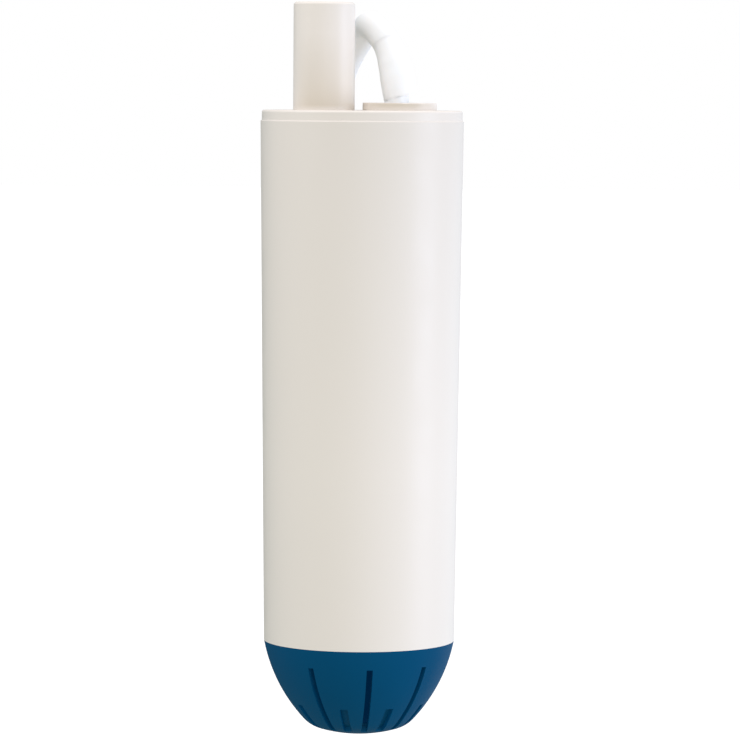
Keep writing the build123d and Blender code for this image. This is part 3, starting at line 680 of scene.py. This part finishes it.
SHEATH_WHITES = ((0.87, 0.875, 0.865), (0.85, 0.855, 0.845))
FINISHES = {
    # painted light: the casing is paler about its middle height
    "casing_white": moulded("casing_plastic", (0.768, 0.716, 0.648), (0.758, 0.702, 0.631), draw=0.003 * MM,
                            painted_light_band=((0.823, 0.765, 0.69), -220.0 * MM, -70.0 * MM, -2.0 * MM)),
    # painted shade: the cap turns darker and warmer low on its front, by the hose tail's foot
    "cap_white": moulded("cap_plastic", (0.785, 0.732, 0.662), (0.775, 0.716, 0.642), draw=0.003 * MM,
                         painted_warm_shade=((0.64, 0.58, 0.485), 0.1 * MM, 1.0 * MM, 15.0 * MM)),
    # painted glow: the strainer's inner faces glow a little blue
    "strainer_blue": painted_inner_glow(
        moulded("strainer_plastic", (0.0004, 0.072, 0.170), (0.0004, 0.066, 0.158), rough=(0.45, 0.55), specular=0.04,
                grain=0.01 * MM),
        (PUMP_X, 0.0, DOME_HIGH.z), (0.0004, 0.055, 0.16), 0.22),
    "inner_white": moulded("inner_plastic", (0.66, 0.65, 0.61), (0.62, 0.61, 0.57), rough=(0.45, 0.55)),
    "impeller_grey": moulded("impeller_plastic", RECORD_COLOURS["impeller_grey"], (0.22, 0.23, 0.25), rough=(0.4, 0.5)),
    "gland_white": soft_sheath("relief_rubber", *SHEATH_WHITES),
    "cable_white": soft_sheath("cable_sheath", *SHEATH_WHITES),
    "tie_grey": woven_strap("strap_weave", (0.12, 0.12, 0.125)),
    "core_brown": moulded("brown_insulation", (0.15, 0.055, 0.025), (0.13, 0.045, 0.02), rough=(0.3, 0.4)),
    "core_blue": moulded("blue_insulation", (0.02, 0.11, 0.40), (0.02, 0.09, 0.34), rough=(0.3, 0.4)),
    "tinned_copper": metal("tinned_wire", (0.72, 0.70, 0.66), 0.3, tint=(0.66, 0.50, 0.38)),
    "seal_black": matte("nitrile_rubber", (0.018, 0.018, 0.018), 0.55),
    "zinc_steel": metal("zinc_plate", RECORD_COLOURS["zinc_steel"], 0.38, lay=(1.0, 1.0, 1.0)),
    "ground_steel": metal("ground_steel_bar", RECORD_COLOURS["ground_steel"], 0.22, lay=(0.1, 0.1, 1.0)),
    "lamination_steel": banded(metal("sheet_stack", RECORD_COLOURS["lamination_steel"], 0.45), 0.5 * MM, 0.05 * MM),
    "ferrite": matte("ferrite_block", (0.06, 0.06, 0.065), 0.7, grain=0.02 * MM),
    "bell_black": matte("filled_plastic", (0.028, 0.028, 0.028), 0.5),
    "bronze": metal("sintered_bronze", RECORD_COLOURS["bronze"], 0.45, lay=(1.0, 1.0, 1.0), scratch=0.01 * MM),
    "tinned_brass": metal("pressed_brass", RECORD_COLOURS["tinned_brass"], 0.3),
    "spring_brass": metal("spring_strip", RECORD_COLOURS["spring_brass"], 0.28),
    "bare_copper": metal("turned_copper", RECORD_COLOURS["bare_copper"], 0.3, lay=(0.1, 0.1, 1.0)),
    "enamelled_copper": banded(metal("wound_wire", RECORD_COLOURS["enamelled_copper"], 0.3), 0.4 * MM, 0.12 * MM),
    "ceramic_ochre": matte("dipped_ceramic", RECORD_COLOURS["ceramic_ochre"], 0.3, specular=0.5),
    "washer_nylon": matte("nylon", RECORD_COLOURS["washer_nylon"], 0.5),
    "carbon": matte("pressed_carbon", (0.03, 0.03, 0.03), 0.65, grain=0.02 * MM),
}

for name, node in frame["nodes"].items():
    for holder in node.material_slots:
        holder.material = FINISHES[SLOT_OF[name]]
for piece, finish in ((cord, "cable_white"), (relief, "gland_white"), (strap, "tie_grey"), (wires, "tinned_copper")):
    piece.data.materials.append(FINISHES[finish])


# ---------------------------------------------------------------- floor and light

FLOOR_DROP = 35.0 * MM            # the pump hangs, and the strainer pulls out 30 mm above the floor
FLOOR_HALF = 6.0
PUMP_MIDDLE = Vector((PUMP_X, 0.0, (CASING_LOW.z + CASING_HIGH.z) / 2))
SEEN_WHITE = (1.0, 1.0, 1.0)      # where the camera looks past the pump

# Each area light: its name, place, size in metres, power in watts and colour.
AREA_LIGHTS = [
    ("key", (1.0, -0.22, 0.0), 0.5, 4.05, (0.72, 0.80, 1.0)),
    ("tail_fill", (-0.095, -0.05, 0.06), 0.04, 0.0268, (0.93, 0.90, 1.0)),
]

# Each lobe of the studio's light: the way it lies, how narrow it is, and its colour.
WORLD_LOBES = [
    ((0.0, -1.0, 0.0), 3.0, (0.67, 0.67, 0.67)),
    ((-1.0, -1.0, 0.0), 4.0, (0.27, 0.31, 0.31)),
    ((1.0, -1.0, 0.0), 4.0, (0.67, 0.70, 0.76)),
    ((-1.0, 0.0, 0.0), 4.0, (0.70, 0.72, 0.76)),
    ((1.0, 0.0, 0.0), 4.0, (0.20, 0.22, 0.34)),
    ((-1.0, 1.0, 0.0), 4.0, (0.06, 0.14, 0.16)),
    ((1.0, 1.0, 0.0), 4.0, (0.93, 1.03, 1.12)),
    ((0.0, 0.0, 1.0), 2.0, (1.91, 1.86, 1.89)),
    ((0.0, 0.0, -1.0), 2.0, (0.66, 0.65, 0.47)),
]


def studio_floor():
    """A pale floor that glows a little and throws no light back on to the pump."""
    level = DOME_LOW.z - FLOOR_DROP
    corners = [(x * FLOOR_HALF, y * FLOOR_HALF, level) for x, y in ((-1, -1), (1, -1), (1, 1), (-1, 1))]
    data = bpy.data.meshes.new("floor")
    data.from_pydata(corners, [], [(0, 1, 2, 3)])
    floor = bpy.data.objects.new("floor", data)
    bpy.context.collection.objects.link(floor)
    floor.visible_diffuse = False
    floor.visible_glossy = False
    floor.visible_shadow = False
    paint, _, shader, _ = new_material("floor_paint")
    shader.inputs["Base Color"].default_value = (0.25, 0.25, 0.25, 1)
    shader.inputs["Roughness"].default_value = 1.0
    shader.inputs["Specular IOR Level"].default_value = 0.0
    shader.inputs["Emission Color"].default_value = (1, 1, 1, 1)
    shader.inputs["Emission Strength"].default_value = 0.84
    data.materials.append(paint)


def area_light(name, place, size, power, colour):
    """A soft square light that faces the pump's middle."""
    data = bpy.data.lights.new(name, "AREA")
    data.size = size
    data.energy = power
    data.color = colour
    light = bpy.data.objects.new(name, data)
    bpy.context.collection.objects.link(light)
    facing = (PUMP_MIDDLE - Vector(place)).to_track_quat("-Z", "Y").to_matrix().to_4x4()
    light.matrix_world = Matrix.Translation(place) @ facing
    light.visible_camera = False


def studio_world():
    """White where the camera looks past the pump; as light, a sum of soft lobes."""
    world = bpy.data.worlds.new("studio")
    bpy.context.scene.world = world
    world.use_nodes = True
    tree = world.node_tree
    way = tree.nodes.new("ShaderNodeTexCoord").outputs["Generated"]
    light = None
    for axis, narrow, colour in WORLD_LOBES:
        facing = combined(tree, "MAXIMUM", combined_vectors(tree, "DOT_PRODUCT", way, Vector(axis).normalized()), 0.0)
        lobe = combined_vectors(tree, "MULTIPLY", combined(tree, "POWER", facing, narrow), colour)
        light = lobe if light is None else combined_vectors(tree, "ADD", light, lobe)
    seen = tree.nodes.new("ShaderNodeLightPath").outputs["Is Camera Ray"]
    tree.links.new(mixed(tree, seen, light, SEEN_WHITE), tree.nodes["Background"].inputs["Color"])


studio_floor()
for area in AREA_LIGHTS:
    area_light(*area)
studio_world()
